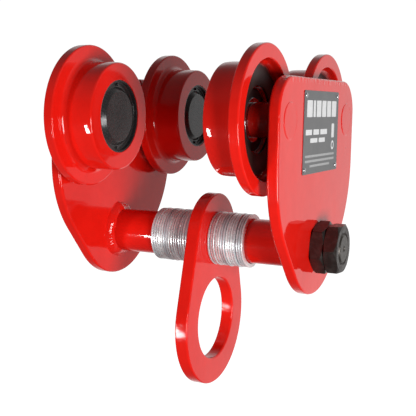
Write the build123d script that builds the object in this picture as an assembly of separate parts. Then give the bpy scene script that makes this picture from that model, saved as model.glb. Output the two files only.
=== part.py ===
from build123d import *
import math
import os

# Push-type beam trolley. Two flat side plates are tied together by a cross shaft below the beam,
# four flanged wheels run on the beam's bottom flange, and a lifting eye hangs on the shaft
# between two stacks of adjusting washers.
# Frame: origin at the middle of the beam's running surface (tread level, midway between the
# wheels), X across the beam, Y along the beam, Z up. Millimetres.

# ---------------------------------------------------------------- driving dimensions
axle_z = 57.0            # wheel axles above the running surface
wheel_pitch = 190.0      # between front and rear axles
plate_in = 117.2         # inner face of a side plate, from the middle
plate_t = 12.0           # side plate thickness
plate_out = plate_in + plate_t

plate_half_w = 125.0     # side plate half width along the beam
plate_top = 43.7         # top edge above the axles
plate_corner = 37.0      # top corner radius
plate_side_low = -48.8   # where the straight sides end, from the axles
plate_flank_r = 113.0    # flank arc radius
plate_tilt = 42.0        # slope of the lower flanks, degrees from vertical
plate_nose_r = 86.4      # bottom arc radius
plate_nose_z = -101.6    # bottom arc centre, from the axles
plate_edge = 1.5         # edge rounding

shaft_z = axle_z - 136.3   # cross shaft axis
shaft_r = 25.0             # cross shaft
shaft_left_r = 20.0        # spigot through the left plate
shaft_thread_r = 16.5      # threaded end, M33
shaft_end = 160.2          # end of the thread
weld_leg = 8.6             # fillet weld on the left plate

nut_af = 50.0              # nuts, across flats
nut_t = 15.0
nut_edge_r = 25.4          # chamfer circle of a nut
nut_bore_r = 16.7
nut_gap = 0.2

wheel_face = 61.6          # wheel inboard face, from the middle
flange_in = 95.5           # wheel flange, inner face
flange_out = 106.5         # wheel flange, outer face
flange_r = 75.0
tread_r = 57.0             # straight part of the tread, beside the flange
tread_r_in = 56.39         # where the crowned part meets the inboard face
crown_start = 68.2         # middle of the crown that eases the tread down inboard
crown_r = 92.0
dish_r = 60.0              # dish opening in the flange's outer face
dish_wall_r = 58.6
dish_floor = 95.5
seat_r = 36.0              # bearing seat
lip_r = 33.5               # lip that the bearing rests against
cap_seat_r = 38.2          # dust cap seat
cap_seat_depth = 6.6

bearing_out = 91.0         # outboard face of the bearing
bearing_w = 19.0
bearing_in = bearing_out - bearing_w
bearing_mid = bearing_out - bearing_w / 2
ball_n = 8
ball_r = 6.0
race_r = 6.2
ball_pitch_r = 25.5
inner_land_r = 22.0
outer_land_r = 29.5
seal_recess_r = 30.9

axle_r = 17.5              # axle shank
journal_r = 15.0           # bearing journal
axle_tip = 68.0            # inboard end of the axle
axle_proud = 0.6           # axle end beyond the plate's outer face

washer_t = 3.0
washer_pitch = 3.1
washer_r = 30.2
washer_bore_r = 25.5
left_stack_end = -58.8     # outboard end of the left stack
left_count = 18
right_stack_start = 12.2
right_count = 14

eye_x0 = -3.0              # eye plate faces
eye_x1 = 12.0
eye_top_r = 51.0
eye_bore_r = 25.1
eye_low_r = 76.0
eye_hole_r = 46.7
eye_hole_drop = 93.0       # load hole centre below the shaft axis
eye_edge = 2.0

tag_y0, tag_y1 = -56.0, 61.0     # nameplate, along the beam
tag_z0, tag_z1 = -55.5, 30.5     # nameplate, from the axles
tag_t = 0.8
tag_rivet_in = 5.0
rivet_head_r = 2.6
rivet_shank_r = 1.5
rivet_dome = 1.4

os.makedirs("parts", exist_ok=True)


# ---------------------------------------------------------------- helpers
def save(name, solids):
    if not isinstance(solids, (list, tuple)):
        solids = [solids]
    flat = []
    for s in solids:
        flat += list(s.solids())
    shape = flat[0] if len(flat) == 1 else Compound(children=flat)
    shape.label = name
    export_step(shape, f"parts/{name}.step")
    print(name, len(flat), round(sum(s.volume for s in flat), 1))


def rounded(points):
    """Closed face in the XY plane from (x, y, corner radius) points."""
    n = len(points)
    ins, outs, mids = [], [], []
    for i in range(n):
        x, y, r = points[i]
        p = Vector(x, y)
        a = Vector(*points[i - 1][:2]) - p
        b = Vector(*points[(i + 1) % n][:2]) - p
        la, lb = a.length, b.length
        a, b = a * (1 / la), b * (1 / lb)
        if r <= 0:
            ins.append(p)
            outs.append(p)
            mids.append(None)
            continue
        half = math.acos(max(-1, min(1, a.dot(b)))) / 2
        t = r / math.tan(half)
        assert t < la and t < lb, (points[i], t, la, lb)
        bis = a + b
        bis = bis * (1 / bis.length)
        ins.append(p + a * t)
        outs.append(p + b * t)
        mids.append(p + bis * (r / math.sin(half) - r))
    edges = []
    for i in range(n):
        if mids[i] is not None:
            edges.append(Edge.make_three_point_arc(ins[i], mids[i], outs[i]))
        j = (i + 1) % n
        if (ins[j] - outs[i]).length > 1e-6:
            edges.append(Edge.make_line(outs[i], ins[j]))
    return Face(Wire(edges))


def turned(points, side=1):
    """Solid of revolution about X from (distance from the middle, radius, corner) points."""
    pts = [(side * x, r, c) for x, r, c in points]
    if side < 0:
        pts = pts[::-1]
    return revolve(rounded(pts), axis=Axis.X, revolution_arc=360)


def ring(x0, x1, r0, r1, side=1, c=0.0):
    return turned([(x0, r0, 0), (x1, r0, 0), (x1, r1, c), (x0, r1, c)], side)


def cyl_x(r, x0, x1, y=0.0, z=0.0):
    """Round bar along X."""
    return Pos(x0, y, z) * Rot(0, 90, 0) * Cylinder(
        r, x1 - x0, align=(Align.CENTER, Align.CENTER, Align.MIN)
    )


def yz_solid(face, x0, x1):
    """Extrudes a face drawn in (Y, Z) along X from x0 to x1."""
    placed = Plane(origin=(x0, 0, 0), x_dir=(0, 1, 0), z_dir=(1, 0, 0)) * face
    return extrude(placed, amount=x1 - x0, dir=(1, 0, 0))


# ---------------------------------------------------------------- side plates
def plate_face():
    w, top = plate_half_w, axle_z + plate_top
    low = axle_z + plate_side_low
    c = plate_corner
    tilt = math.radians(plate_tilt)
    flank_c = Vector(w - plate_flank_r, low)
    nose_c = Vector(0, axle_z + plate_nose_z)

    def on(centre, r, angle):
        return centre + Vector(math.cos(angle), math.sin(angle)) * r

    a = on(flank_c, plate_flank_r, -tilt)
    b = on(nose_c, plate_nose_r, -tilt)
    right = [
        Edge.make_line((0, top), (w - c, top)),
        Edge.make_three_point_arc(
            (w - c, top), on(Vector(w - c, top - c), c, math.pi / 4), (w, top - c)
        ),
        Edge.make_line((w, top - c), (w, low)),
        Edge.make_three_point_arc(Vector(w, low), on(flank_c, plate_flank_r, -tilt / 2), a),
        Edge.make_line(a, b),
        Edge.make_three_point_arc(
            b, on(nose_c, plate_nose_r, -(tilt + math.pi / 2) / 2), on(nose_c, plate_nose_r, -math.pi / 2)
        ),
    ]
    left = [e.mirror(Plane.YZ) for e in right]
    return Face(Wire(right + left))


def side_plate(side):
    x0, x1 = (plate_in, plate_out) if side > 0 else (-plate_out, -plate_in)
    body = yz_solid(plate_face(), x0, x1)
    rim = [e for e in body.edges() if abs(abs(e.center().X - (x0 + x1) / 2) - plate_t / 2) < 0.01]
    body = fillet(rim, plate_edge)
    for y in (-wheel_pitch / 2, wheel_pitch / 2):
        body -= cyl_x(axle_r, x0 - 1, x1 + 1, y, axle_z)
    hole = shaft_thread_r + 0.35 if side > 0 else shaft_left_r
    body -= cyl_x(hole, x0 - 1, x1 + 1, 0, shaft_z)
    if side > 0:
        for y in (tag_y0 + tag_rivet_in, tag_y1 - tag_rivet_in):
            for z in (tag_z0 + tag_rivet_in, tag_z1 - tag_rivet_in):
                body -= cyl_x(rivet_shank_r, x1 - 6, x1 + 1, y, axle_z + z)
    return body


save("side_plate_left", side_plate(-1))
save("side_plate_right", side_plate(1))

# ---------------------------------------------------------------- cross shaft, weld, nuts
shaft = revolve(
    rounded([
        (-plate_out - axle_proud, 0, 0),
        (-plate_out - axle_proud, shaft_left_r, 0.6),
        (-plate_in, shaft_left_r, 0),
        (-plate_in, shaft_r, 0),
        (plate_in, shaft_r, 0),
        (plate_in, shaft_thread_r, 0),
        (shaft_end - 2.0, shaft_thread_r, 0),
        (shaft_end, shaft_thread_r - 2.0, 0),
        (shaft_end, 3.2, 0),
        (shaft_end - 5.0, 0, 0),
    ]),
    axis=Axis.X, revolution_arc=360,
)
save("cross_shaft", Pos(0, 0, shaft_z) * shaft)

wx = -plate_in
weld_edges = [
    Edge.make_line((wx, shaft_r), (wx, shaft_r + weld_leg)),
    Edge.make_three_point_arc(
        (wx, shaft_r + weld_leg),
        (wx + weld_leg * 0.60, shaft_r + weld_leg * 0.60),
        (wx + weld_leg, shaft_r),
    ),
    Edge.make_line((wx + weld_leg, shaft_r), (wx, shaft_r)),
]
weld = revolve(Face(Wire(weld_edges)), axis=Axis.X, revolution_arc=360)
save("shaft_weld", Pos(0, 0, shaft_z) * weld)


def nut(x0, turn):
    """Thin hexagon nut, chamfered both ends; turn is the first corner's angle in the YZ plane."""
    rc = nut_af / 2 / math.cos(math.pi / 6)
    pts = [
        (rc * math.cos(math.radians(turn + 60 * k)), rc * math.sin(math.radians(turn + 60 * k)), 0)
        for k in range(6)
    ]
    body = yz_solid(rounded(pts), x0, x0 + nut_t)
    slope = math.tan(math.radians(30))
    h = (rc + 1 - nut_edge_r) * slope
    hull = revolve(
        rounded([
            (x0, 0, 0), (x0, nut_edge_r, 0), (x0 + h, rc + 1, 0),
            (x0 + nut_t - h, rc + 1, 0), (x0 + nut_t, nut_edge_r, 0), (x0 + nut_t, 0, 0),
        ]),
        axis=Axis.X, revolution_arc=360,
    )
    body = body & hull
    bore = revolve(
        rounded([
            (x0 - 1, 0, 0), (x0 - 1, nut_bore_r + 2.4, 0), (x0, nut_bore_r + 1.4, 0),
            (x0 + 1.4, nut_bore_r, 0), (x0 + nut_t - 1.4, nut_bore_r, 0),
            (x0 + nut_t, nut_bore_r + 1.4, 0), (x0 + nut_t + 1, nut_bore_r + 2.4, 0),
            (x0 + nut_t + 1, 0, 0),
        ]),
        axis=Axis.X, revolution_arc=360,
    )
    return Pos(0, 0, shaft_z) * (body - bore)


save("shaft_nuts", [
    nut(plate_out, 180 + 18.0),
    nut(plate_out + nut_t + nut_gap, 0.0),
])

# ---------------------------------------------------------------- washers and lifting eye
def washer(x0, k):
    """One adjusting washer. It hangs on the shaft, a little off centre, as a loose washer does."""
    dy = 0.13 * math.sin(2.4 * k + 0.5)
    dz = -0.22 + 0.11 * math.cos(1.7 * k)
    r = washer_r + 0.12 * math.sin(3.9 * k)
    body = ring(x0, x0 + washer_t, washer_bore_r, r, c=0.45)
    return Pos(0, dy, shaft_z + dz) * body


save("spacer_washers_left", [washer(left_stack_end + washer_pitch * k, k) for k in range(left_count)])
save("spacer_washers_right", [washer(right_stack_start + washer_pitch * k, k + 31) for k in range(right_count)])

low_c = Vector(0, shaft_z - eye_hole_drop)
top_c = Vector(0, shaft_z)
lean = math.asin((eye_low_r - eye_top_r) / eye_hole_drop)   # the straight flanks' slope
ct, st = math.cos(lean), math.sin(lean)
ta = top_c + Vector(ct, st) * eye_top_r
tb = low_c + Vector(ct, st) * eye_low_r
eye_edges = [
    Edge.make_three_point_arc(Vector(-ta.X, ta.Y), top_c + Vector(0, eye_top_r), ta),
    Edge.make_line(ta, tb),
    Edge.make_three_point_arc(tb, low_c + Vector(0, -eye_low_r), Vector(-tb.X, tb.Y)),
    Edge.make_line(Vector(-tb.X, tb.Y), Vector(-ta.X, ta.Y)),
]
eye = yz_solid(Face(Wire(eye_edges)), eye_x0, eye_x1)
eye = fillet([e for e in eye.edges() if abs(abs(e.center().X - (eye_x0 + eye_x1) / 2) - (eye_x1 - eye_x0) / 2) < 0.01], eye_edge)
eye -= cyl_x(eye_bore_r, eye_x0 - 1, eye_x1 + 1, 0, shaft_z)
eye -= cyl_x(eye_hole_r, eye_x0 - 1, eye_x1 + 1, 0, low_c.Y)
save("lifting_eye", eye)

# ---------------------------------------------------------------- nameplate and rivets
tag = yz_solid(
    rounded([
        (tag_y0, axle_z + tag_z0, 2.0), (tag_y1, axle_z + tag_z0, 2.0),
        (tag_y1, axle_z + tag_z1, 2.0), (tag_y0, axle_z + tag_z1, 2.0),
    ]),
    plate_out, plate_out + tag_t,
)
rivets = []
for ry in (tag_y0 + tag_rivet_in, tag_y1 - tag_rivet_in):
    for rz in (tag_z0 + tag_rivet_in, tag_z1 - tag_rivet_in):
        tag -= cyl_x(rivet_shank_r, plate_out - 1, plate_out + tag_t + 1, ry, axle_z + rz)
        x = plate_out + tag_t
        dome_r = (rivet_head_r ** 2 + rivet_dome ** 2) / (2 * rivet_dome)
        half = math.asin(rivet_head_r / dome_r) / 2
        dome_mid = (x + rivet_dome - dome_r + dome_r * math.cos(half), dome_r * math.sin(half))
        edges = [
            Edge.make_line((x - tag_t - 5, 0), (x - tag_t - 5, rivet_shank_r)),
            Edge.make_line((x - tag_t - 5, rivet_shank_r), (x, rivet_shank_r)),
            Edge.make_line((x, rivet_shank_r), (x, rivet_head_r)),
            Edge.make_three_point_arc((x, rivet_head_r), dome_mid, (x + rivet_dome, 0)),
            Edge.make_line((x + rivet_dome, 0), (x - tag_t - 5, 0)),
        ]
        rivets.append(Pos(0, ry, axle_z + rz) * revolve(Face(Wire(edges)), axis=Axis.X, revolution_arc=360))
save("nameplate", tag)
save("nameplate_rivets", rivets)


# ---------------------------------------------------------------- one wheel station
def wheel(side):
    f, s = wheel_face, cap_seat_depth
    return turned([
        (f, cap_seat_r, 0.5),
        (f + s, cap_seat_r, 0),
        (f + s, seat_r, 0),
        (bearing_in - 2.8, seat_r, 0),
        (bearing_in - 2.8, seat_r + 1.5, 0),
        (bearing_in - 0.1, seat_r + 1.5, 0),
        (bearing_in - 0.1, seat_r, 0),
        (bearing_out, seat_r, 0),
        (bearing_out, lip_r, 0),
        (dish_floor, lip_r, 0.8),
        (dish_floor, dish_wall_r, 7.5),
        (flange_out, dish_r, 1.4),
        (flange_out, flange_r, 1.6),
        (flange_in, flange_r, 1.6),
        (flange_in, tread_r, 6.0),
        (crown_start, tread_r, crown_r),
        (f, tread_r_in, 2.0),
    ], side)


def hub_circlip(side):
    """Internal circlip in the hub's groove, open at the bottom, with two plier lugs."""
    x0, x1 = bearing_in - 2.7, bearing_in - 0.2
    body = ring(x0, x1, seat_r - 2.6, seat_r + 1.4, side)
    xa, xb = sorted((side * x0, side * x1))
    for s in (-1, 1):
        body += cyl_x(2.9, xa, xb, s * 5.4, -(seat_r - 3.0))
    gap = Pos((xa + xb) / 2, 0, -(seat_r - 1.5)) * Box(xb - xa + 2, 5.0, 14)
    body -= gap
    for s in (-1, 1):
        body -= cyl_x(1.25, xa - 1, xb + 1, s * 5.4, -(seat_r - 3.2))
    body = body & cyl_x(seat_r + 1.4, xa, xb)
    return body


def axle_circlip(side):
    """External circlip in the axle's groove, open at the top."""
    x0, x1 = bearing_in - 1.6, bearing_in - 0.1
    body = ring(x0, x1, journal_r - 0.6, journal_r + 2.6, side)
    xa, xb = sorted((side * x0, side * x1))
    for s in (-1, 1):
        body += cyl_x(2.3, xa, xb, s * 4.0, journal_r + 2.2)
    body -= cyl_x(journal_r - 0.6, xa - 1, xb + 1)
    body -= Pos((xa + xb) / 2, 0, journal_r + 2) * Box(xb - xa + 2, 3.4, 14)
    for s in (-1, 1):
        body -= cyl_x(1.0, xa - 1, xb + 1, s * 4.0, journal_r + 2.3)
    return body


def dust_cap(side):
    """Pressed cover: flat centre disc, sloping wall down to an annular floor, outer rim, four nibs."""
    f = wheel_face
    body = turned([
        (f + 0.4, 0, 0),
        (f + 0.4, 27.0, 0.7),
        (f + 4.9, 30.4, 0.8),
        (f + 4.9, 36.4, 0.8),
        (f + 0.5, 36.9, 0.3),
        (f + 0.5, cap_seat_r, 0.3),
        (f + 6.4, cap_seat_r, 0.3),
        (f + 6.4, 29.4, 0.8),
        (f + 1.9, 26.0, 0.8),
        (f + 1.9, 0, 0),
    ], side)
    xa, xb = sorted((side * (f + 3.2), side * (f + 5.2)))
    for k in range(4):
        a = math.radians(90 * k)
        body += cyl_x(1.5, xa, xb, 33.4 * math.sin(a), 33.4 * math.cos(a))
    return body


def outer_ring(side):
    half = bearing_w / 2
    m = bearing_mid
    body = turned([
        (m - half, seal_recess_r, 0.3), (m - half + 1.8, seal_recess_r, 0), (m - half + 1.8, outer_land_r, 0),
        (m + half - 1.8, outer_land_r, 0), (m + half - 1.8, seal_recess_r, 0), (m + half, seal_recess_r, 0.3),
        (m + half, seat_r, 1.0), (m - half, seat_r, 1.0),
    ], side)
    race = Pos(side * m, 0, 0) * Rot(0, 90, 0) * Torus(ball_pitch_r, race_r)
    return body - race


def inner_ring(side):
    half = bearing_w / 2
    m = bearing_mid
    body = turned([
        (m - half, journal_r, 0.9), (m + half, journal_r, 0.9),
        (m + half, inner_land_r, 0.5), (m - half, inner_land_r, 0.5),
    ], side)
    race = Pos(side * m, 0, 0) * Rot(0, 90, 0) * Torus(ball_pitch_r, race_r)
    return body - race


def ball_places(side):
    for k in range(ball_n):
        a = 2 * math.pi * k / ball_n + 0.2
        yield side * bearing_mid, ball_pitch_r * math.cos(a), ball_pitch_r * math.sin(a)


def balls(side):
    return [Pos(*p) * Sphere(ball_r) for p in ball_places(side)]


def cage(side):
    m = bearing_mid
    body = ring(m - 7.3, m + 7.3, ball_pitch_r - 1.1, ball_pitch_r + 1.1, side)
    for p in ball_places(side):
        body -= Pos(*p) * Sphere(ball_r + 0.25)
    return body


def seals(side):
    half = bearing_w / 2
    m = bearing_mid
    made = []
    for x0, x1 in ((m - half + 0.4, m - half + 1.6), (m + half - 1.6, m + half - 0.4)):
        made.append(ring(x0, x1, inner_land_r + 0.3, seal_recess_r - 0.1, side, 0.2))
    return made


def axle(side):
    g0, g1 = bearing_in - 1.65, bearing_in - 0.05
    return turned([
        (axle_tip, 0, 0),
        (axle_tip, journal_r, 1.0),
        (g0, journal_r, 0),
        (g0, journal_r - 0.7, 0),
        (g1, journal_r - 0.7, 0),
        (g1, journal_r, 0),
        (bearing_out, journal_r, 0),
        (bearing_out, axle_r, 0.6),
        (plate_out + axle_proud, axle_r, 0.6),
        (plate_out + axle_proud, 0, 0),
    ], side)


for end, y in (("front", -wheel_pitch / 2), ("rear", wheel_pitch / 2)):
    for hand, side in (("left", -1), ("right", 1)):
        here = Pos(0, y, axle_z)
        tag_name = f"{end}_{hand}"
        save(f"wheel_{tag_name}", here * wheel(side))
        save(f"dust_cap_{tag_name}", here * dust_cap(side))
        save(f"hub_circlip_{tag_name}", here * hub_circlip(side))
        save(f"bearing_outer_ring_{tag_name}", here * outer_ring(side))
        save(f"bearing_seals_{tag_name}", [here * s for s in seals(side)])
        save(f"bearing_balls_{tag_name}", [here * s for s in balls(side)])
        save(f"bearing_cage_{tag_name}", here * cage(side))
        save(f"bearing_inner_ring_{tag_name}", here * inner_ring(side))
        save(f"axle_circlip_{tag_name}", here * axle_circlip(side))
        save(f"axle_{tag_name}", here * axle(side))
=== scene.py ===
import math
import random

import bpy
import numpy as np
from mathutils import Matrix, Vector


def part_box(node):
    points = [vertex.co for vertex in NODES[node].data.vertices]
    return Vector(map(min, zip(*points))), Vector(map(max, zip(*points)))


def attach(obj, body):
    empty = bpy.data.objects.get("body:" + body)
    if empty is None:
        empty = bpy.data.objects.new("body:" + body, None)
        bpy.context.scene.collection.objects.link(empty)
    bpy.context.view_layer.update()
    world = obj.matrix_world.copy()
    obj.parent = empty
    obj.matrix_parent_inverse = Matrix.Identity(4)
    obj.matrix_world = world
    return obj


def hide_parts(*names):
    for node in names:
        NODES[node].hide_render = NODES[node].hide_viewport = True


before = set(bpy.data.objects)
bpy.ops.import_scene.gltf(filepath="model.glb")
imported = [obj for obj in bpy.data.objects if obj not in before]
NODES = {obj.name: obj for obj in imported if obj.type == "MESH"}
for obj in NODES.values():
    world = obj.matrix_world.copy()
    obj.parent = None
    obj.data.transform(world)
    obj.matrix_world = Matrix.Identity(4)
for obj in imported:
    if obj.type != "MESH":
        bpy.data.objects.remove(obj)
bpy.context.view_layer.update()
MM = 0.001
STATIONS = ("front_left", "front_right", "rear_left", "rear_right")


# ------------------------------------------------------------------ measures from the frame (mm)
def lohi(node):
    lo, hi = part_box(node)
    return lo / MM, hi / MM


def centre(node):
    lo, hi = lohi(node)
    return (lo + hi) / 2


wheel_c = {s: centre(f"wheel_{s}") for s in STATIONS}
axle_z = wheel_c["front_left"].z
plate_lo, plate_hi = lohi("side_plate_right")
plate_in, plate_out = plate_lo.x, plate_hi.x
wl, wh = lohi("wheel_front_right")
face_x, flange_x, flange_r = wl.x, wh.x, (wh.z - wl.z) / 2
sl, sh = lohi("cross_shaft")
shaft_r = (sh.z - sl.z) / 2
shaft_z = (sh.z + sl.z) / 2
shaft_end = sh.x
shaft_left = sl.x
eye_lo, eye_hi = lohi("lifting_eye")


# ------------------------------------------------------------------ node helpers
def new_material(name):
    mat = bpy.data.materials.new(name)
    mat.use_nodes = True
    nt = mat.node_tree
    return mat, nt, nt.nodes["Principled BSDF"]


def node(nt, kind, **values):
    n = nt.nodes.new(kind)
    for k, v in values.items():
        if k.startswith("in_"):
            n.inputs[k[3:].replace("_", " ")].default_value = v
        else:
            setattr(n, k, v)
    return n


def link(nt, a, b):
    nt.links.new(a, b)


def noise(nt, coord, scale, detail=3.0, rough=0.5, distortion=0.0):
    n = nt.nodes.new("ShaderNodeTexNoise")
    n.inputs["Scale"].default_value = scale
    n.inputs["Detail"].default_value = detail
    n.inputs["Roughness"].default_value = rough
    n.inputs["Distortion"].default_value = distortion
    link(nt, coord, n.inputs["Vector"])
    return n.outputs["Fac"]


def ramp(nt, fac, stops, interpolation="LINEAR"):
    n = nt.nodes.new("ShaderNodeValToRGB")
    n.color_ramp.interpolation = interpolation
    els = n.color_ramp.elements
    while len(els) > 1:
        els.remove(els[-1])
    els[0].position, els[0].color = stops[0][0], (*stops[0][1], 1) if hasattr(stops[0][1], "__len__") else (stops[0][1],) * 3 + (1,)
    for pos, col in stops[1:]:
        e = els.new(pos)
        e.color = (*col, 1) if hasattr(col, "__len__") else (col, col, col, 1)
    link(nt, fac, n.inputs["Fac"])
    return n.outputs["Color"]


def mix(nt, fac, a, b, mode="MIX"):
    n = nt.nodes.new("ShaderNodeMix")
    n.data_type = "RGBA"
    n.blend_type = mode
    if isinstance(fac, (int, float)):
        n.inputs[0].default_value = fac
    else:
        link(nt, fac, n.inputs[0])
    for sock, v in ((6, a), (7, b)):
        if hasattr(v, "__len__"):
            n.inputs[sock].default_value = (*v, 1)
        else:
            link(nt, v, n.inputs[sock])
    return n.outputs[2]


def math_node(nt, op, a, b=None, clamp=False):
    n = nt.nodes.new("ShaderNodeMath")
    n.operation = op
    n.use_clamp = clamp
    for i, v in enumerate((a, b)):
        if v is None:
            continue
        if isinstance(v, (int, float)):
            n.inputs[i].default_value = v
        else:
            link(nt, v, n.inputs[i])
    return n.outputs[0]


def maprange(nt, v, a, b, c, d):
    n = nt.nodes.new("ShaderNodeMapRange")
    link(nt, v, n.inputs["Value"])
    n.inputs["From Min"].default_value = a
    n.inputs["From Max"].default_value = b
    n.inputs["To Min"].default_value = c
    n.inputs["To Max"].default_value = d
    return n.outputs["Result"]


def bump(nt, height, distance, normal=None, strength=1.0):
    n = nt.nodes.new("ShaderNodeBump")
    n.inputs["Strength"].default_value = strength
    n.inputs["Distance"].default_value = distance
    link(nt, height, n.inputs["Height"])
    if normal is not None:
        link(nt, normal, n.inputs["Normal"])
    return n.outputs["Normal"]


def object_coord(nt):
    return nt.nodes.new("ShaderNodeTexCoord").outputs["Object"]


# ------------------------------------------------------------------ materials
def red_enamel(name, lathe=False, wave=1.0, chips=1.0, painted_recess_shade=False, cut=False, dark=1.0):
    """Glossy spray enamel over steel: slow waviness, fine orange peel, faint colour drift, pinholes and chips."""
    mat, nt, b = new_material(name)
    co = object_coord(nt)
    drift = noise(nt, co, 14.0, 3.0)
    base = mix(nt, maprange(nt, drift, 0.3, 0.7, 0.0, 1.0), tuple(dark * c for c in (0.76, 0.0105, 0.0055)), tuple(dark * c for c in (0.86, 0.0140, 0.0078)))
    cloud = noise(nt, co, 95.0, 4.0, 0.6)
    base = mix(nt, maprange(nt, cloud, 0.35, 0.75, 0.0, 0.22), base, (0.60, 0.0075, 0.004))
    # chips and pinholes: a few small spots where the paint is thin or dirty
    vor = nt.nodes.new("ShaderNodeTexVoronoi")
    vor.inputs["Scale"].default_value = 70.0
    link(nt, co, vor.inputs["Vector"])
    sep = nt.nodes.new("ShaderNodeSeparateColor")
    link(nt, vor.outputs["Color"], sep.inputs["Color"])
    pick = maprange(nt, sep.outputs[0], 0.90, 0.905, 0.0, 1.0)
    size = maprange(nt, sep.outputs[1], 0.0, 1.0, 0.030, 0.075)
    near = math_node(nt, "LESS_THAN", vor.outputs["Distance"], size)
    spot = math_node(nt, "MULTIPLY", pick, near, True)
    spot = math_node(nt, "MULTIPLY", spot, 0.75 * chips)
    base = mix(nt, spot, base, (0.10, 0.009, 0.006))
    if painted_recess_shade:
        # painted shade: the web inside the wheel's outboard recess and the foot of its wall are darkened and made
        # rougher, standing in for the shade that falls there; the normal paint colour returns up the wall
        sd = nt.nodes.new("ShaderNodeSeparateXYZ")
        link(nt, co, sd.inputs[0])
        ax = math_node(nt, "ABSOLUTE", sd.outputs[0])
        ay = math_node(nt, "SUBTRACT", math_node(nt, "ABSOLUTE", sd.outputs[1]), abs(wheel_c["front_left"].y) * MM)
        az = math_node(nt, "SUBTRACT", sd.outputs[2], axle_z * MM)
        rr = math_node(nt, "SQRT", math_node(nt, "ADD", math_node(nt, "MULTIPLY", ay, ay), math_node(nt, "MULTIPLY", az, az)))
        rr = math_node(nt, "ADD", rr, maprange(nt, noise(nt, co, 90.0, 4.0), 0.3, 0.7, -0.0012, 0.0012))
        inner = maprange(nt, rr, 0.0530, 0.0585, 1.0, 0.0)
        recess_shade_mask = math_node(nt, "MULTIPLY", math_node(nt, "GREATER_THAN", ax, (flange_x - 13.0) * MM), inner, True)
        base = mix(nt, recess_shade_mask, base, mix(nt, noise(nt, co, 160.0, 4.0), (0.012, 0.008, 0.007), (0.034, 0.020, 0.016)))
    link(nt, base, b.inputs["Base Color"])
    rough = maprange(nt, noise(nt, co, 40.0, 3.0), 0.3, 0.7, 0.035, 0.075)
    if painted_recess_shade:
        rough = math_node(nt, "ADD", rough, math_node(nt, "MULTIPLY", recess_shade_mask, 0.35), True)
    link(nt, rough, b.inputs["Roughness"])
    b.inputs["IOR"].default_value = 1.52
    slow = noise(nt, co, 26.0, 2.0)
    n1 = bump(nt, slow, 0.00030 * wave)
    peel = noise(nt, co, 330.0, 2.0)
    n2 = bump(nt, peel, 0.000018 * wave, n1)
    n3 = bump(nt, spot, 0.00006, n2)
    if cut:
        # flame-cut edges: short striations across the thickness and a few drips of paint, under the gloss
        geo = nt.nodes.new("ShaderNodeNewGeometry")
        sn = nt.nodes.new("ShaderNodeSeparateXYZ")
        link(nt, geo.outputs["True Normal"], sn.inputs[0])
        rim = maprange(nt, math_node(nt, "ABSOLUTE", sn.outputs[0]), 0.80, 0.97, 1.0, 0.0)
        mp = nt.nodes.new("ShaderNodeMapping")
        mp.inputs["Scale"].default_value = (0.25, 1.0, 1.0)
        link(nt, co, mp.inputs["Vector"])
        stri = noise(nt, mp.outputs["Vector"], 420.0, 3.0, 0.6)
        n3 = bump(nt, math_node(nt, "MULTIPLY", stri, rim), 0.00016, n3)
        so = nt.nodes.new("ShaderNodeSeparateXYZ")
        link(nt, co, so.inputs[0])
        high = maprange(nt, so.outputs[2], (plate_hi.z - 7.0) * MM, (plate_hi.z - 2.0) * MM, 0.0, 1.0)
        md = nt.nodes.new("ShaderNodeMapping")
        md.inputs["Scale"].default_value = (1.0, 1.0, 0.16)
        link(nt, co, md.inputs["Vector"])
        drip = maprange(nt, noise(nt, md.outputs["Vector"], 210.0, 2.0), 0.48, 0.62, 0.0, 1.0)
        n3 = bump(nt, math_node(nt, "MULTIPLY", drip, high), 0.00040, n3)
    if lathe:
        # very faint turning marks under the paint: rings about the X axis
        sepx = nt.nodes.new("ShaderNodeSeparateXYZ")
        link(nt, co, sepx.inputs[0])
        comb = nt.nodes.new("ShaderNodeCombineXYZ")
        link(nt, sepx.outputs[0], comb.inputs[0])
        rings = noise(nt, comb.outputs[0], 900.0, 2.0)
        n3 = bump(nt, rings, 0.000010, n3)
    link(nt, n3, b.inputs["Normal"])
    return mat


def galvanised(name):
    """Bright zinc on stamped washers: each washer differs a little in tone and in roughness."""
    mat, nt, b = new_material(name)
    co = object_coord(nt)
    isl = nt.nodes.new("ShaderNodeNewGeometry").outputs["Random Per Island"]
    tone = ramp(nt, isl, [(0.0, (0.58, 0.62, 0.65)), (0.22, (0.93, 0.98, 1.0)), (0.5, (0.96, 1.0, 1.0)), (0.72, (0.70, 0.74, 0.77)), (1.0, (0.97, 1.0, 1.0))])
    blotch = noise(nt, co, 150.0, 5.0, 0.65)
    base = mix(nt, maprange(nt, blotch, 0.45, 0.72, 0.0, 0.5), tone, (0.46, 0.48, 0.51))
    link(nt, base, b.inputs["Base Color"])
    b.inputs["Metallic"].default_value = 0.36
    fine = noise(nt, co, 700.0, 3.0)
    r0 = maprange(nt, isl, 0.0, 1.0, 0.36, 0.22)
    rough = math_node(nt, "ADD", r0, maprange(nt, fine, 0.3, 0.7, -0.05, 0.09), True)
    link(nt, rough, b.inputs["Roughness"])
    n1 = bump(nt, noise(nt, co, 210.0, 3.0), 0.00012)
    mp = nt.nodes.new("ShaderNodeMapping")
    mp.inputs["Scale"].default_value = (0.12, 1.0, 1.0)
    link(nt, co, mp.inputs["Vector"])
    shear = noise(nt, mp.outputs["Vector"], 850.0, 3.0, 0.6)
    n2 = bump(nt, shear, 0.00014, n1)
    link(nt, n2, b.inputs["Normal"])
    return mat


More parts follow.
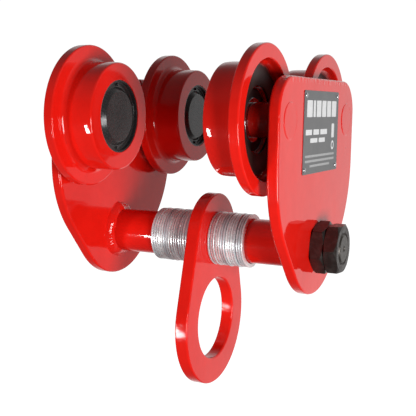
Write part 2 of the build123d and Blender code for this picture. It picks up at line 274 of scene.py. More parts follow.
def black_oxide(name):
    """Black-oxide nut: dark satin steel, brownish, rubbed grey in places."""
    mat, nt, b = new_material(name)
    co = object_coord(nt)
    wear = noise(nt, co, 90.0, 5.0, 0.65)
    base = mix(nt, maprange(nt, wear, 0.45, 0.75, 0.0, 1.0), (0.062, 0.049, 0.045), (0.125, 0.112, 0.104))
    link(nt, base, b.inputs["Base Color"])
    b.inputs["Metallic"].default_value = 0.75
    rough = maprange(nt, noise(nt, co, 260.0, 3.0), 0.3, 0.7, 0.30, 0.48)
    link(nt, rough, b.inputs["Roughness"])
    n1 = bump(nt, noise(nt, co, 140.0, 4.0), 0.00009)
    n2 = bump(nt, noise(nt, co, 900.0, 2.0), 0.00002, n1)
    link(nt, n2, b.inputs["Normal"])
    return mat


def black_plastic(name, grey=0.022):
    """Moulded dust cap: satin black with a fine grain."""
    mat, nt, b = new_material(name)
    co = object_coord(nt)
    dust = noise(nt, co, 60.0, 4.0, 0.6)
    base = mix(nt, maprange(nt, dust, 0.4, 0.8, 0.0, 1.0), (grey, grey, grey * 1.02), (grey * 1.7, grey * 1.62, grey * 1.6))
    link(nt, base, b.inputs["Base Color"])
    rough = maprange(nt, noise(nt, co, 400.0, 2.0), 0.3, 0.7, 0.20, 0.32)
    link(nt, rough, b.inputs["Roughness"])
    n1 = bump(nt, noise(nt, co, 1100.0, 2.0), 0.000008)
    n2 = bump(nt, noise(nt, co, 45.0, 2.0), 0.00020, n1)
    link(nt, n2, b.inputs["Normal"])
    return mat


def tag_metal(name):
    """Nameplate: dark grey anodised aluminium sheet with a fine brushed grain and light handling marks."""
    mat, nt, b = new_material(name)
    co = object_coord(nt)
    m = nt.nodes.new("ShaderNodeMapping")
    m.inputs["Scale"].default_value = (1.0, 14.0, 1.0)
    link(nt, co, m.inputs["Vector"])
    grain = noise(nt, m.outputs["Vector"], 160.0, 4.0, 0.6)
    smudge = noise(nt, co, 35.0, 3.0)
    base = mix(nt, maprange(nt, grain, 0.3, 0.7, 0.0, 1.0), (0.145, 0.145, 0.148), (0.20, 0.20, 0.203))
    base = mix(nt, maprange(nt, smudge, 0.4, 0.75, 0.0, 0.35), base, (0.24, 0.235, 0.23))
    link(nt, base, b.inputs["Base Color"])
    b.inputs["Metallic"].default_value = 0.35
    rough = maprange(nt, grain, 0.3, 0.7, 0.36, 0.50)
    link(nt, rough, b.inputs["Roughness"])
    n1 = bump(nt, grain, 0.000012)
    n2 = bump(nt, smudge, 0.00035, n1)
    link(nt, n2, b.inputs["Normal"])
    return mat


def print_ink(name, tone):
    mat, nt, b = new_material(name)
    co = object_coord(nt)
    thin = noise(nt, co, 420.0, 3.0, 0.6)
    base = mix(nt, maprange(nt, thin, 0.35, 0.75, 0.0, 0.5), (tone, tone, tone), (tone * 0.72, tone * 0.72, tone * 0.73))
    link(nt, base, b.inputs["Base Color"])
    link(nt, maprange(nt, thin, 0.3, 0.7, 0.40, 0.55), b.inputs["Roughness"])
    link(nt, bump(nt, thin, 0.00001), b.inputs["Normal"])
    return mat


def bare_metal(name, tone, r0, r1, metallic=1.0, turned=True):
    """Ground or drawn steel: turning rings or grain, slight tone drift."""
    mat, nt, b = new_material(name)
    co = object_coord(nt)
    drift = noise(nt, co, 70.0, 4.0)
    base = mix(nt, maprange(nt, drift, 0.3, 0.7, 0.0, 1.0), tuple(t * 0.82 for t in tone), tone)
    link(nt, base, b.inputs["Base Color"])
    b.inputs["Metallic"].default_value = metallic
    link(nt, maprange(nt, noise(nt, co, 350.0, 3.0), 0.3, 0.7, r0, r1), b.inputs["Roughness"])
    link(nt, bump(nt, noise(nt, co, 600.0 if turned else 250.0, 3.0), 0.00002), b.inputs["Normal"])
    return mat


def seal_rubber(name):
    mat, nt, b = new_material(name)
    co = object_coord(nt)
    g = noise(nt, co, 220.0, 4.0)
    link(nt, mix(nt, g, (0.012, 0.012, 0.012), (0.03, 0.028, 0.027)), b.inputs["Base Color"])
    link(nt, maprange(nt, g, 0.3, 0.7, 0.45, 0.65), b.inputs["Roughness"])
    link(nt, bump(nt, g, 0.00006), b.inputs["Normal"])
    return mat


M_PLATE = red_enamel("enamel_plate", wave=1.0, cut=True)
# the wheels carry painted shade in their outboard recess
M_WHEEL = red_enamel("enamel_wheel", lathe=True, wave=0.22, painted_recess_shade=True)
M_SHAFT = red_enamel("enamel_shaft", wave=0.9, chips=0.5)
# painted shade: the axle's red is darkened to 0.42 because the axle shows only in the shaded gap between wheel and side
# plate
M_AXLE_SHADED = red_enamel("enamel_axle_shaded", lathe=True, wave=0.8, dark=0.42)
M_WELD = red_enamel("enamel_weld", wave=1.6, chips=0.3)
M_EYE = red_enamel("enamel_eye", wave=0.9, cut=True)
M_ZINC = galvanised("zinc")
M_NUT = black_oxide("black_oxide")
M_ROD = bare_metal("rod_end", (0.105, 0.092, 0.082), 0.30, 0.45, 0.80)
M_CAP = black_plastic("cap_black")
M_TAG = tag_metal("tag_grey")
M_INK = print_ink("ink_white", 0.82)
M_INK2 = print_ink("ink_grey", 0.42)
M_RIVET = bare_metal("rivet_alu", (0.86, 0.86, 0.87), 0.18, 0.30, 1.0, False)
M_BEARING = bare_metal("bearing_steel", (0.60, 0.60, 0.61), 0.12, 0.22)
M_SPRING = bare_metal("spring_steel", (0.13, 0.125, 0.125), 0.28, 0.42)
M_SEAL = seal_rubber("seal_rubber")


# ------------------------------------------------------------------ mesh helpers
def round_profile(points, step=14.0):
    """Closed outline from (x, r, corner radius); corners become arcs with a point about every `step` degrees."""
    out = []
    n = len(points)
    for i in range(n):
        x, y, r = points[i]
        p = np.array((x, y), float)
        a = np.array(points[i - 1][:2], float) - p
        b = np.array(points[(i + 1) % n][:2], float) - p
        la, lb = np.linalg.norm(a), np.linalg.norm(b)
        a, b = a / la, b / lb
        if r <= 0:
            out.append(tuple(p))
            continue
        half = math.acos(max(-1, min(1, float(a @ b)))) / 2
        t = min(r / math.tan(half), 0.499 * la, 0.499 * lb)
        r = t * math.tan(half)
        bis = (a + b) / np.linalg.norm(a + b)
        c = p + bis * (r / math.sin(half))
        s = p + a * t
        e = p + b * t
        a0 = math.atan2(*(s - c)[::-1])
        a1 = math.atan2(*(e - c)[::-1])
        d = (a1 - a0 + math.pi) % (2 * math.pi) - math.pi
        m = max(2, int(math.ceil(abs(math.degrees(d)) / step)), int(min(12, r * abs(d) / 1.2)))
        for k in range(m + 1):
            t_ = a0 + d * k / m
            out.append((c[0] + r * math.cos(t_), c[1] + r * math.sin(t_)))
    clean = []
    for q in out:
        if not clean or math.dist(q, clean[-1]) > 1e-5:
            clean.append(q)
    if math.dist(clean[0], clean[-1]) < 1e-5:
        clean.pop()
    return clean


def make_object(name, verts, faces, mats, sharp=28.0, face_mats=None):
    """Mesh object at the origin from millimetre points. Normals face outward, flat faces stay flat beside roundings."""
    me = bpy.data.meshes.new(name)
    me.from_pydata([(v[0] * MM, v[1] * MM, v[2] * MM) for v in verts], [], faces)
    me.validate()
    import bmesh
    bm = bmesh.new()
    bm.from_mesh(me)
    bmesh.ops.recalc_face_normals(bm, faces=bm.faces)
    bm.to_mesh(me)
    bm.free()
    for m in mats:
        me.materials.append(m)
    if face_mats is not None:
        me.polygons.foreach_set("material_index", face_mats)
    me.polygons.foreach_set("use_smooth", [True] * len(me.polygons))
    me.set_sharp_from_angle(angle=math.radians(sharp))
    ob = bpy.data.objects.new(name, me)
    bpy.context.scene.collection.objects.link(ob)
    w = ob.modifiers.new("flat_faces", "WEIGHTED_NORMAL")
    w.keep_sharp = True
    w.weight = 50
    return ob


def lathe_geometry(profile, cy, cz, segs, side=1, wobble=None):
    """Vertices and faces of a closed profile turned about the X axis through (cy, cz)."""
    verts, rows = [], []
    for i, (x, r) in enumerate(profile):
        if abs(r) < 1e-7:
            rows.append([len(verts)] * segs)
            verts.append((side * x, cy, cz))
            continue
        row = []
        for k in range(segs):
            a = 2 * math.pi * k / segs
            dx, dr = wobble(i, x, r, a) if wobble else (0.0, 0.0)
            row.append(len(verts))
            verts.append((side * (x + dx), cy + (r + dr) * math.cos(a), cz + (r + dr) * math.sin(a)))
        rows.append(row)
    faces = []
    n = len(profile)
    for i in range(n):
        a, b = rows[i], rows[(i + 1) % n]
        if a[0] == a[-1] and b[0] == b[-1]:
            continue
        for k in range(segs):
            j = (k + 1) % segs
            f = [a[k], a[j], b[j], b[k]]
            f = [v for q, v in enumerate(f) if v != f[q - 1]]
            if len(f) >= 3:
                faces.append(f)
    return verts, faces


def lathe(name, points, cy, cz, mats, segs=144, side=1, step=14.0, wobble=None, sharp=28.0):
    prof = round_profile(points, step)
    v, f = lathe_geometry(prof, cy, cz, segs, side, wobble)
    return make_object(name, v, f, mats, sharp)


def plate_mesh(name, outline, holes, x0, x1, edge, mats, hole_edge=0.0, steps=5, wave=None):
    """Flat plate in the YZ plane between x0 and x1 with rounded edges and round holes (y, z, r)."""
    cu = bpy.data.curves.new(name + "_c", "CURVE")
    cu.dimensions = "2D"
    cu.fill_mode = "BOTH"
    loops = [outline] + [
        [(y + r * math.cos(2 * math.pi * k / 120), z + r * math.sin(2 * math.pi * k / 120)) for k in range(120)]
        for y, z, r in holes
    ]
    for lp in loops:
        sp = cu.splines.new("POLY")
        sp.points.add(len(lp) - 1)
        for p, (y, z) in zip(sp.points, lp):
            p.co = (y * MM, z * MM, 0, 1)
        sp.use_cyclic_u = True
    cu.extrude = max(0.0, (x1 - x0) / 2 - edge) * MM
    cu.bevel_depth = edge * MM
    cu.bevel_resolution = steps
    cu.offset = -edge * MM
    tmp = bpy.data.objects.new(name + "_t", cu)
    bpy.context.scene.collection.objects.link(tmp)
    bpy.context.view_layer.update()
    me = bpy.data.meshes.new_from_object(tmp.evaluated_get(bpy.context.evaluated_depsgraph_get()))
    bpy.data.objects.remove(tmp)
    bpy.data.curves.remove(cu)
    import bmesh
    bm = bmesh.new()
    bm.from_mesh(me)
    bmesh.ops.remove_doubles(bm, verts=bm.verts, dist=1e-6)
    bmesh.ops.dissolve_degenerate(bm, edges=bm.edges, dist=1e-7)
    for v in bm.verts:
        y, z, x = v.co
        v.co = Vector((x + (x0 + x1) / 2 * MM, y, z))
    bmesh.ops.recalc_face_normals(bm, faces=bm.faces)
    me.clear_geometry()
    bm.to_mesh(me)
    bm.free()
    me.name = name
    me.materials.clear()
    for m in mats:
        me.materials.append(m)
    me.polygons.foreach_set("material_index", [0] * len(me.polygons))
    me.polygons.foreach_set("use_smooth", [True] * len(me.polygons))
    me.set_sharp_from_angle(angle=math.radians(30))
    ob = bpy.data.objects.new(name, me)
    bpy.context.scene.collection.objects.link(ob)
    w = ob.modifiers.new("flat_faces", "WEIGHTED_NORMAL")
    w.keep_sharp = True
    w.weight = 50
    return ob


def placed(ob, body, slot, *replaced):
    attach(ob, body)
    if replaced:
        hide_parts(*replaced)
    return ob


# ------------------------------------------------------------------ side plates
def arc(cx, cy, r, a0, a1, n):
    return [(cx + r * math.cos(a0 + (a1 - a0) * k / n), cy + r * math.sin(a0 + (a1 - a0) * k / n)) for k in range(n + 1)]


def plate_outline():
    half = (plate_hi.y - plate_lo.y) / 2
    top = plate_hi.z
    bottom = plate_lo.z
    corner, flank_r, nose_r, tilt = 37.0, 113.0, 86.4, math.radians(42)
    low = top - 92.5
    right = [(0.0, top), (half * 0.35, top)]
    right += arc(half - corner, top - corner, corner, math.pi / 2, 0, 22)
    right += [(half, top - corner - (top - corner - low) * 0.5)]
    right += arc(half - flank_r, low, flank_r, 0, -tilt, 26)
    right += arc(0, bottom + nose_r, nose_r, -tilt, -math.pi / 2, 26)
    left = [(-y, z) for y, z in right[::-1] if abs(y) > 1e-6]
    pts = right + left
    clean = [p for i, p in enumerate(pts) if math.dist(p, pts[i - 1]) > 1e-3]
    return clean


outline = plate_outline()
for side, name in ((-1, "left"), (1, "right")):
    x0, x1 = (plate_in, plate_out) if side > 0 else (-plate_out, -plate_in)
    ob = plate_mesh(f"plate_{name}", outline, [], x0, x1, 2.3, [M_PLATE])
    placed(ob, "frame", "red_enamel", f"side_plate_{name}")

# ------------------------------------------------------------------ cross shaft and weld
ob = lathe("shaft_bar", [
    (-plate_in + 0.2, 0, 0), (-plate_in + 0.2, shaft_r, 0), (plate_in - 0.05, shaft_r, 0.4), (plate_in - 0.05, 0, 0),
], 0, shaft_z, [M_SHAFT], segs=160)
placed(ob, "frame", "red_enamel")
ob = lathe("shaft_left_end", [
    (-shaft_left - 2.0, 0, 0), (-shaft_left - 2.0, 19.9, 0), (-shaft_left, 19.9, 0.6), (-shaft_left, 0, 0),
], 0, shaft_z, [M_PLATE], segs=120, side=-1)
placed(ob, "frame", "red_enamel")
rod = [(plate_out - 1, 0, 0), (plate_out - 1, 16.4, 0)]
x = plate_out + 0.5
while x < shaft_end - 3.4:
    rod += [(x, 16.45, 0), (x + 0.95, 15.6, 0), (x + 1.75, 16.45, 0)]
    x += 3.5 / 2
rod += [(shaft_end - 2.4, 16.4, 0), (shaft_end, 14.2, 0.3), (shaft_end, 3.2, 0.2), (shaft_end - 4.4, 0, 0)]
ob = lathe("shaft_thread", rod, 0, shaft_z, [M_ROD], segs=96)
placed(ob, "frame", "black_oxide", "cross_shaft")

rng = random.Random(7)
phase = [rng.uniform(0, 6.28) for _ in range(12)]


def bead():
    """Hand-laid fillet weld round the shaft: uneven legs, overlapping ripples, a start and stop lump."""
    segs, ribs = 420, 16
    verts, rows = [], []
    for k in range(segs):
        a = 2 * math.pi * k / segs
        lump = 0.9 * math.sin(3 * a + phase[0]) + 0.7 * math.sin(5 * a + phase[1]) + 0.5 * math.sin(9 * a + phase[2]) + 0.4 * math.sin(14 * a + phase[3])
        leg_p = 7.6 + 0.55 * lump
        leg_s = 7.2 + 0.50 * (0.8 * math.sin(4 * a + phase[4]) + 0.7 * math.sin(7 * a + phase[5]) + 0.5 * math.sin(12 * a + phase[6]))
        stop = math.exp(-((math.remainder(a - 1.75, 2 * math.pi)) / 0.10) ** 2)
        leg_p += 1.3 * stop
        leg_s += 1.2 * stop
        saw = (k * 52 / segs + 0.25 * math.sin(3 * a)) % 1.0
        ripple = 0.42 * (1 - saw) ** 1.5
        row = []
        for j in range(ribs + 1):
            t = j / ribs
            ang = t * math.pi / 2
            base_x = leg_s * math.sin(ang)
            base_r = leg_p * math.cos(ang)
            # between a flat and a convex fillet
            flat_x, flat_r = leg_s * t, leg_p * (1 - t)
            s = 0.42
            px = flat_x + (base_x - flat_x) * s
            pr = flat_r + (base_r - flat_r) * s
            swell = math.sin(math.pi * t) * (ripple + 0.25 * stop)
            px += swell * 0.7
            pr += swell * 0.7
            row.append(len(verts))
            verts.append((-plate_in - 0.05 + px, (shaft_r + pr) * math.cos(a), shaft_z + (shaft_r + pr) * math.sin(a)))
        row.append(len(verts))
        verts.append((-plate_in - 0.05, (shaft_r - 0.4) * math.cos(a), shaft_z + (shaft_r - 0.4) * math.sin(a)))
        rows.append(row)
    faces = []
    n = ribs + 2
    for k in range(segs):
        a, b = rows[k], rows[(k + 1) % segs]
        for j in range(n):
            i = (j + 1) % n
            faces.append([a[j], a[i], b[i], b[j]])
    return verts, faces


v, f = bead()
ob = make_object("weld_bead", v, f, [M_WELD], sharp=55)
placed(ob, "frame", "red_enamel", "shaft_weld")

# ------------------------------------------------------------------ nuts
nut_lo, nut_hi = lohi("shaft_nuts")
nut_t = 15.0


def hex_radius(a, af, rc, phase_deg):
    """Radius of a hexagon at angle a; the corner-rounding term is multiplied by zero, so the corners stay sharp."""
    q = (math.degrees(a) - phase_deg) % 60.0
    d = math.radians(q - 30.0)
    r = af / 2 / math.cos(d)
    return min(r, rc - 0.9 * (1 - math.exp(-((abs(d) - math.pi / 6) / 0.05) ** 2)) * 0.0)


def nut(name, x0, x1, turn, body="frame", replaced=()):
    af = nut_hi.y - nut_lo.y
    af = af * math.cos(math.pi / 6)
    rc = af / 2 / math.cos(math.pi / 6)
    r_edge, slope = af / 2 + 0.15, math.tan(math.radians(30))
    angs = []
    for k in range(6):
        a0 = turn + 60 * k
        # points crowd towards each corner
        for u in (0, 0.35, 0.8, 1.6, 3, 6, 10, 15, 20, 25, 30, 35, 40, 45, 50, 54, 57, 58.4, 59.2, 59.65):
            angs.append(math.radians(a0 + u))
    n = len(angs)
    verts = []
    rings = []

    def ring(fn):
        row = []
        for a in angs:
            x, r = fn(a)
            row.append(len(verts))
            verts.append((x, r * math.cos(a), shaft_z + r * math.sin(a)))
        rings.append(row)

    def hexr(a):
        q = (math.degrees(a) - turn) % 60.0
        d = math.radians(q - 30.0)
        r = af / 2 / math.cos(d)
        e = abs(abs(math.degrees(d)) - 30.0)  # degrees from the corner
        if e < 1.4:
            r -= 0.28 * (1 - e / 1.4) ** 2
        return r

    def drop(r):
        return max(0.0, (r - r_edge) * slope)

    bore = 16.6
    seat = 18.2
    ring(lambda a: (x0 + 1.4, bore))
    ring(lambda a: (x0, seat))
    ring(lambda a: (x0, r_edge - 0.7))
    ring(lambda a: (x0 + 0.12, min(hexr(a), r_edge) - 0.12))
    ring(lambda a: (x0 + 0.28 + drop(hexr(a)), hexr(a) - 0.10 if hexr(a) > r_edge else hexr(a)))
    ring(lambda a: (x0 + 0.75 + drop(hexr(a)) * 1.02, hexr(a)))
    ring(lambda a: ((x0 + x1) / 2, hexr(a)))
    ring(lambda a: (x1 - 0.75 - drop(hexr(a)) * 1.02, hexr(a)))
    ring(lambda a: (x1 - 0.28 - drop(hexr(a)), hexr(a) - 0.10 if hexr(a) > r_edge else hexr(a)))
    ring(lambda a: (x1 - 0.12, min(hexr(a), r_edge) - 0.12))
    ring(lambda a: (x1, r_edge - 0.7))
    ring(lambda a: (x1, seat))
    ring(lambda a: (x1 - 1.4, bore))
    faces = []
    m = len(rings)
    for i in range(m):
        a, b = rings[i], rings[(i + 1) % m]
        for k in range(n):
            j = (k + 1) % n
            faces.append([a[k], a[j], b[j], b[k]])
    ob = make_object(name, verts, faces, [M_NUT], sharp=32)
    placed(ob, body, "black_oxide", *replaced)
    return ob


nut("nut_inner", nut_lo.x, nut_lo.x + nut_t, 180 + 18.0, replaced=("shaft_nuts",))
nut("nut_outer", nut_hi.x - nut_t, nut_hi.x, 0.0)


# ------------------------------------------------------------------ washers
def washer_stack(name, nodename, count, seed, gap_after=None):
    lo, hi = lohi(nodename)
    rng = random.Random(seed)
    span = hi.x - lo.x
    spare = 0.42
    pitch = (span - (spare if gap_after is not None else 0)) / count
    verts, faces = [], []
    x = lo.x
    for k in range(count):
        t = pitch - 0.52
        r = 30.25 + rng.uniform(-0.42, 0.22)
        bore = 25.45
        e1, e2 = rng.uniform(0.6, 1.35), rng.uniform(0.3, 0.9)
        if rng.random() < 0.5:
            e1, e2 = e2, e1
        prof = round_profile([(0, bore, 0.25), (t, bore, 0.25), (t, r, e1), (0, r, e2)], 22.0)
        dy, dz = 0.16 * math.sin(2.4 * k + seed), -0.20 + 0.14 * math.cos(1.7 * k + seed)
        tilt_y, tilt_z = rng.uniform(-0.0012, 0.0012), rng.uniform(-0.0012, 0.0012)
        ph, amp = rng.uniform(0, 6.28), rng.uniform(0.02, 0.07)
        v, f = lathe_geometry(
            prof, dy, shaft_z + dz, 128, 1,
            lambda i, xx, rr, a: (tilt_y * rr * math.cos(a) + tilt_z * rr * math.sin(a), amp * math.sin(2 * a + ph) if rr > 28 else 0.0),
        )
        off = len(verts)
        verts += [(p[0] + x, p[1], p[2]) for p in v]
        faces += [[i + off for i in q] for q in f]
        x += pitch
        if gap_after == k:
            x += spare
    ob = make_object(name, verts, faces, [M_ZINC], sharp=40)
    placed(ob, "spacer_pack", "galvanised", nodename)
    return ob


washer_stack("washers_left", "spacer_washers_left", 18, 3)
washer_stack("washers_right", "spacer_washers_right", 14, 11, gap_after=10)

# ------------------------------------------------------------------ lifting eye
eye_top_r, eye_low_r, eye_drop, eye_hole = 51.0, 76.0, 93.0, 46.7
lean = math.asin((eye_low_r - eye_top_r) / eye_drop)
eye_out = arc(0, shaft_z, eye_top_r, lean, math.pi - lean, 84)
eye_out += arc(0, shaft_z - eye_drop, eye_low_r, math.pi - lean, 2 * math.pi + lean, 132)
ob = plate_mesh("eye_plate", eye_out, [(0, shaft_z, 25.3), (0, shaft_z - eye_drop, eye_hole)], eye_lo.x, eye_hi.x, 1.9, [M_EYE])
placed(ob, "lifting_eye", "red_enamel", "lifting_eye")

# ------------------------------------------------------------------ nameplate, print, rivets
tag_lo, tag_hi = lohi("nameplate")


def rounded_rect(y0, z0, y1, z1, r, n=6):
    pts = []
    for cy, cz, a0 in ((y1 - r, z1 - r, 0), (y0 + r, z1 - r, 90), (y0 + r, z0 + r, 180), (y1 - r, z0 + r, 270)):
        pts += arc(cy, cz, r, math.radians(a0), math.radians(a0 + 90), n)
    return pts


ob = plate_mesh("tag_sheet", rounded_rect(tag_lo.y, tag_lo.z, tag_hi.y, tag_hi.z, 2.0), [], tag_lo.x, tag_hi.x, 0.18, [M_TAG], steps=2)
placed(ob, "frame", "nameplate_aluminium", "nameplate")


def ink(name, outline, mat, x=None):
    """A raised print of about a twentieth of a millimetre on the nameplate."""
    x = tag_hi.x - 0.01 if x is None else x
    ob = plate_mesh(name, outline, [], x, x + 0.07, 0.01, [mat], steps=1)
    return ob


def tag_pos(u, w):
    """Point on the nameplate, u and w from 0 to 1 from its lower front corner."""
    return tag_lo.y + (tag_hi.y - tag_lo.y) * u, tag_lo.z + (tag_hi.z - tag_lo.z) * w


def bar(name, u0, u1, w0, w1, mat, r=0.8):
    y0, z0 = tag_pos(u0, w0)
    y1, z1 = tag_pos(u1, w1)
    return ink(name, rounded_rect(y0, z0, y1, z1, r, 4), mat)


prints = []
u = 0.07
for i, width in enumerate((0.15, 0.06, 0.13, 0.12, 0.12, 0.14)):
    prints.append(bar(f"print_title_{i}", u, u + width, 0.685, 0.885, M_INK, 1.0))
    u += width + 0.028
prints += [bar("print_line_1a", 0.05, 0.22, 0.47, 0.535, M_INK), bar("print_line_1b", 0.26, 0.42, 0.47, 0.535, M_INK), bar("print_line_1c", 0.46, 0.66, 0.47, 0.535, M_INK)]
prints += [bar("print_line_2a", 0.18, 0.38, 0.375, 0.43, M_INK), bar("print_line_2b", 0.42, 0.60, 0.375, 0.43, M_INK)]
prints += [bar("print_mark", 0.80, 0.88, 0.42, 0.60, M_INK, 2.0)]
for i, (u0, u1, w) in enumerate(((0.05, 0.90, 0.215), (0.05, 0.90, 0.155), (0.18, 0.76, 0.095))):
    prints.append(bar(f"print_small_{i}", u0, u1, w - 0.014, w + 0.014, M_INK2, 0.5))
cy, cz = tag_pos(0.84, 0.325)
ring_v, ring_f = lathe_geometry(round_profile([(tag_hi.x - 0.01, 2.9, 0), (tag_hi.x + 0.06, 2.9, 0), (tag_hi.x + 0.06, 5.0, 0), (tag_hi.x - 0.01, 5.0, 0)]), cy, cz, 48)
prints.append(make_object("print_ring", ring_v, ring_f, [M_INK]))
for ob in prints:
    placed(ob, "frame", "nameplate_aluminium")

riv = NODES["nameplate_rivets"]
rv, rf = [], []
rl, rh = lohi("nameplate_rivets")
head_r = 2.6
for ry in (rl.y + head_r, rh.y - head_r):
    for rz in (rl.z + head_r, rh.z - head_r):
        dome = [(tag_hi.x - 0.3, 0, 0), (tag_hi.x - 0.3, head_r * 0.9, 0), (tag_hi.x, head_r, 0)]
        dome += [(tag_hi.x + (rh.x - tag_hi.x) * math.sin(t), head_r * math.cos(t), 0) for t in (0.2, 0.5, 0.8, 1.1, 1.35)]
        dome += [(rh.x, 0, 0)]
        v, f = lathe_geometry(round_profile(dome), ry, rz, 40)
        off = len(rv)
        rv += v
        rf += [[i + off for i in q] for q in f]
ob = make_object("rivet_heads", rv, rf, [M_RIVET], sharp=50)
placed(ob, "frame", "rivet_aluminium", "nameplate_rivets")

# ------------------------------------------------------------------ wheels, caps, axles
lip_r, seat_r, cap_r = 33.5, 36.0, 38.2
dish_floor = flange_x - 11.0
for s in STATIONS:
    side = 1 if s.endswith("right") else -1
    cy, cz = wheel_c[s].y, wheel_c[s].z
    fx = face_x
    wheel = [
        (fx, cap_r, 0.45), (fx + 6.6, cap_r, 0), (fx + 6.6, seat_r, 0), (fx + 29.4, seat_r, 0), (fx + 29.4, lip_r, 0),
        (dish_floor, lip_r, 0.9), (dish_floor, 58.6, 7.5), (flange_x, 60.0, 1.5), (flange_x, flange_r, 1.7),
        (dish_floor, flange_r, 1.7), (dish_floor, 57.0, 6.0), (fx + 6.6, 57.0, 92.0), (fx, 56.39, 2.0),
    ]
    ob = lathe(f"wheel_body_{s}", wheel, cy, cz, [M_WHEEL], segs=192, side=side, step=9.0)
    placed(ob, f"wheel_{s}", "red_enamel", f"wheel_{s}")

    cap = [
        (fx + 0.4, 0, 0), (fx + 0.4, 26.4, 0.9), (fx + 4.5, 30.9, 0.9), (fx + 4.9, 36.2, 1.0), (fx + 0.7, 36.8, 0.5),
        (fx + 0.5, cap_r - 0.05, 0.4), (fx + 6.3, cap_r - 0.05, 0.3), (fx + 6.3, 30.2, 0.8), (fx + 1.9, 25.4, 0.8), (fx + 1.9, 0, 0),
    ]
    ob = lathe(f"cap_{s}", cap, cy, cz, [M_CAP], segs=144, side=side, step=12.0)
    placed(ob, f"wheel_{s}", "black_plastic", f"dust_cap_{s}")
    v, f = [], []
    for k in range(4):
        a = math.radians(90 * k)
        nib = round_profile([(fx + 2.6, 0, 0), (fx + 2.6, 1.5, 0.6), (fx + 5.2, 1.5, 0), (fx + 5.2, 0, 0)], 20)
        nv, nf = lathe_geometry(nib, cy + 33.4 * math.sin(a), cz + 33.4 * math.cos(a), 24, side)
        off = len(v)
        v += nv
        f += [[i + off for i in q] for q in nf]
    ob = make_object(f"cap_nibs_{s}", v, f, [M_CAP], sharp=50)
    placed(ob, f"wheel_{s}", "black_plastic")

    al, ah = lohi(f"axle_{s}")
    tip, end = (al.x, ah.x) if side > 0 else (-ah.x, -al.x)
    axle = [
        (tip, 0, 0), (tip, 15, 1.0), (tip + 2.35, 15, 0), (tip + 2.35, 14.3, 0), (tip + 3.95, 14.3, 0), (tip + 3.95, 15, 0),
        (tip + 23.0, 15, 0), (tip + 23.0, 17.5, 0.8), (end - 1.4, 17.5, 0), (end - 1.4, 0, 0),
    ]
    # the axle bar takes the darkened enamel, painted shade for the gap it sits in
    ob = lathe(f"axle_bar_{s}", axle, cy, cz, [M_AXLE_SHADED], segs=120, side=side)
    placed(ob, "frame", "red_enamel", f"axle_{s}")
    ob = lathe(f"axle_end_{s}", [(end - 1.4, 0, 0), (end - 1.4, 17.5, 0), (end, 17.5, 0.7), (end, 0, 0)], cy, cz, [M_SHAFT], segs=120, side=side)
    placed(ob, "frame", "red_enamel")
    bead_ring = [(plate_out - 0.3, 17.0, 0), (plate_out - 0.3, 18.9, 0), (plate_out + 0.08, 18.6, 0.1), (plate_out + 0.62, 17.8, 0.35), (plate_out + 0.50, 17.0, 0)]
    ob = lathe(f"axle_ring_{s}", bead_ring, cy, cz, [M_SHAFT], segs=144, side=side)
    placed(ob, "frame", "red_enamel")

# ------------------------------------------------------------------ carried-over CAD nodes
for n, o in NODES.items():
    mat = None
    if n.startswith(("bearing_outer", "bearing_inner", "bearing_balls", "bearing_cage")):
        mat = M_BEARING
    elif n.startswith("bearing_seals"):
        mat = M_SEAL
    elif "circlip" in n:
        mat = M_SPRING
    if mat is not None:
        if o.data.materials:
            for i in range(len(o.data.materials)):
                o.data.materials[i] = mat
        else:
            o.data.materials.append(mat)

# ------------------------------------------------------------------ stage: floor, world, lights, camera
floor_z = -1.20


def floor():
    me = bpy.data.meshes.new("floor")
    big = 60.0
    me.from_pydata([(-big, -big, floor_z), (big, -big, floor_z), (big, big, floor_z), (-big, big, floor_z)], [], [(0, 1, 2, 3)])
    ob = bpy.data.objects.new("floor", me)
    bpy.context.scene.collection.objects.link(ob)
    mat, nt, b = new_material("floor_white")
    b.inputs["Base Color"].default_value = (0.75, 0.75, 0.75, 1)
    b.inputs["Roughness"].default_value = 0.9
    b.inputs["Specular IOR Level"].default_value = 0.0
    b.inputs["Emission Color"].default_value = (1, 1, 1, 1)
    b.inputs["Emission Strength"].default_value = 0.95
    mat.cycles.emission_sampling = "NONE"
    me.materials.append(mat)
    # the set's dark side walls and bright backdrop are the world's, so the floor is only seen directly
    ob.visible_glossy = False
    ob.visible_diffuse = False
    ob.visible_shadow = False
    ob.visible_transmission = False


floor()

# The studio: a bright backdrop behind, black flags in front and at the sides, a dim ceiling and a dim floor.
world = bpy.data.worlds.new("studio")
bpy.context.scene.world = world
world.use_nodes = True
wn = world.node_tree
for n_ in list(wn.nodes):
    wn.nodes.remove(n_)
out = wn.nodes.new("ShaderNodeOutputWorld")
bg = wn.nodes.new("ShaderNodeBackground")
bg_white = wn.nodes.new("ShaderNodeBackground")
bg_white.inputs["Color"].default_value = (1, 1, 1, 1)
bg_white.inputs["Strength"].default_value = 1.05
tc = wn.nodes.new("ShaderNodeTexCoord")
nrm = wn.nodes.new("ShaderNodeVectorMath")
nrm.operation = "NORMALIZE"
wn.links.new(tc.outputs["Generated"], nrm.inputs[0])
sp = wn.nodes.new("ShaderNodeSeparateXYZ")
wn.links.new(nrm.outputs[0], sp.inputs[0])
dx, dy, dz = sp.outputs
flat = math_node(wn, "SQRT", math_node(wn, "ADD", math_node(wn, "MULTIPLY", dx, dx), math_node(wn, "MULTIPLY", dy, dy)))
flat = math_node(wn, "MAXIMUM", flat, 0.02)
toward = math_node(wn, "ADD", math_node(wn, "MULTIPLY", dx, -0.13), math_node(wn, "MULTIPLY", dy, 0.99))
toward = math_node(wn, "DIVIDE", toward, flat)
around = ramp(wn, maprange(wn, toward, -1.0, 1.0, 0.0, 1.0), [
    (0.0, 0.03), (0.25, 0.05), (0.50, 0.16), (0.75, 0.33), (0.875, 0.52), (0.945, 0.92), (1.0, 1.12)])
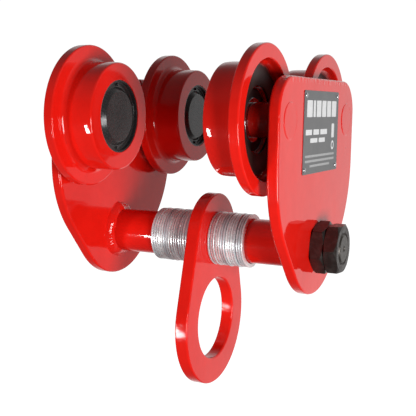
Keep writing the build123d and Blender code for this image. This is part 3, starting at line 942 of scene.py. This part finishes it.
height = ramp(wn, maprange(wn, dz, -1.0, 1.0, 0.0, 1.0), [
    (0.0, 0.03), (0.065, 0.06), (0.115, 0.22), (0.18, 0.75), (0.25, 1.0), (0.77, 1.0), (0.83, 0.42), (0.89, 0.18), (0.95, 0.10)])
wall = math_node(wn, "MULTIPLY", around, height)
ceiling = ramp(wn, maprange(wn, dz, -1.0, 1.0, 0.0, 1.0), [
    (0.0, 0.04), (0.06, 0.08), (0.25, 0.11), (0.42, 0.02), (0.70, 0.02), (0.84, 0.12), (1.0, 0.13)])
total = math_node(wn, "ADD", wall, ceiling)
wn.links.new(total, bg.inputs["Strength"])
lp = wn.nodes.new("ShaderNodeLightPath")
mx = wn.nodes.new("ShaderNodeMixShader")
wn.links.new(lp.outputs["Is Camera Ray"], mx.inputs[0])
wn.links.new(bg.outputs[0], mx.inputs[1])
wn.links.new(bg_white.outputs[0], mx.inputs[2])
wn.links.new(mx.outputs[0], out.inputs[0])


def area(name, at, target, sx, sy, radiance, tint=(1, 1, 1), glossy=True):
    li = bpy.data.lights.new(name, "AREA")
    li.shape = "RECTANGLE"
    li.size, li.size_y = sx, sy
    li.energy = radiance * math.pi * sx * sy
    li.color = tint
    ob = bpy.data.objects.new(name, li)
    bpy.context.scene.collection.objects.link(ob)
    ob.location = at
    d = Vector(target) - Vector(at)
    ob.rotation_mode = "QUATERNION"
    ob.rotation_quaternion = d.to_track_quat("-Z", "Y")
    ob.visible_camera = False
    ob.visible_glossy = glossy
    return ob


area("key_left", (-0.875, -1.60, -0.70), (0, -0.05, 0.03), 0.16, 0.48, 44.0)
area("fill_left", (-0.70, -1.66, -0.66), (0, -0.05, 0.03), 0.50, 0.70, 5.0, glossy=False)
area("key_right", (1.34, -0.87, -0.34), (0, -0.05, 0.0), 0.62, 0.62, 13.0)
area("fill_right", (1.36, -0.89, -0.34), (0, -0.05, 0.0), 0.62, 0.62, 8.6, glossy=False)

cam_data = bpy.data.cameras.new("camera")
cam = bpy.data.objects.new("camera", cam_data)
bpy.context.scene.collection.objects.link(cam)
yaw, pitch, roll = 0.4367402106, 0.1186795303, 0.0192204552
back = Vector((math.sin(yaw) * math.cos(pitch), -math.cos(yaw) * math.cos(pitch), math.sin(pitch)))
fwd = -back
right = fwd.cross(Vector((0, 0, 1))).normalized()
upv = right.cross(fwd)
r2 = right * math.cos(roll) + upv * math.sin(roll)
u2 = upv * math.cos(roll) - right * math.sin(roll)
m = Matrix.Identity(4)
for i in range(3):
    m[i][0], m[i][1], m[i][2] = r2[i], u2[i], -fwd[i]
m[0][3], m[1][3], m[2][3] = 0.412687, -0.886643, 0.013554 + axle_z * MM
cam.matrix_world = m
cam_data.sensor_width = 36.0
cam_data.lens = 862.26244 * 36.0 / 416.0
cam_data.clip_start, cam_data.clip_end = 0.01, 200.0
bpy.context.scene.camera = cam

scene = bpy.context.scene
scene.view_settings.view_transform = "Standard"
scene.view_settings.look = "None"
scene.view_settings.exposure = 0.0
scene.view_settings.gamma = 1.0
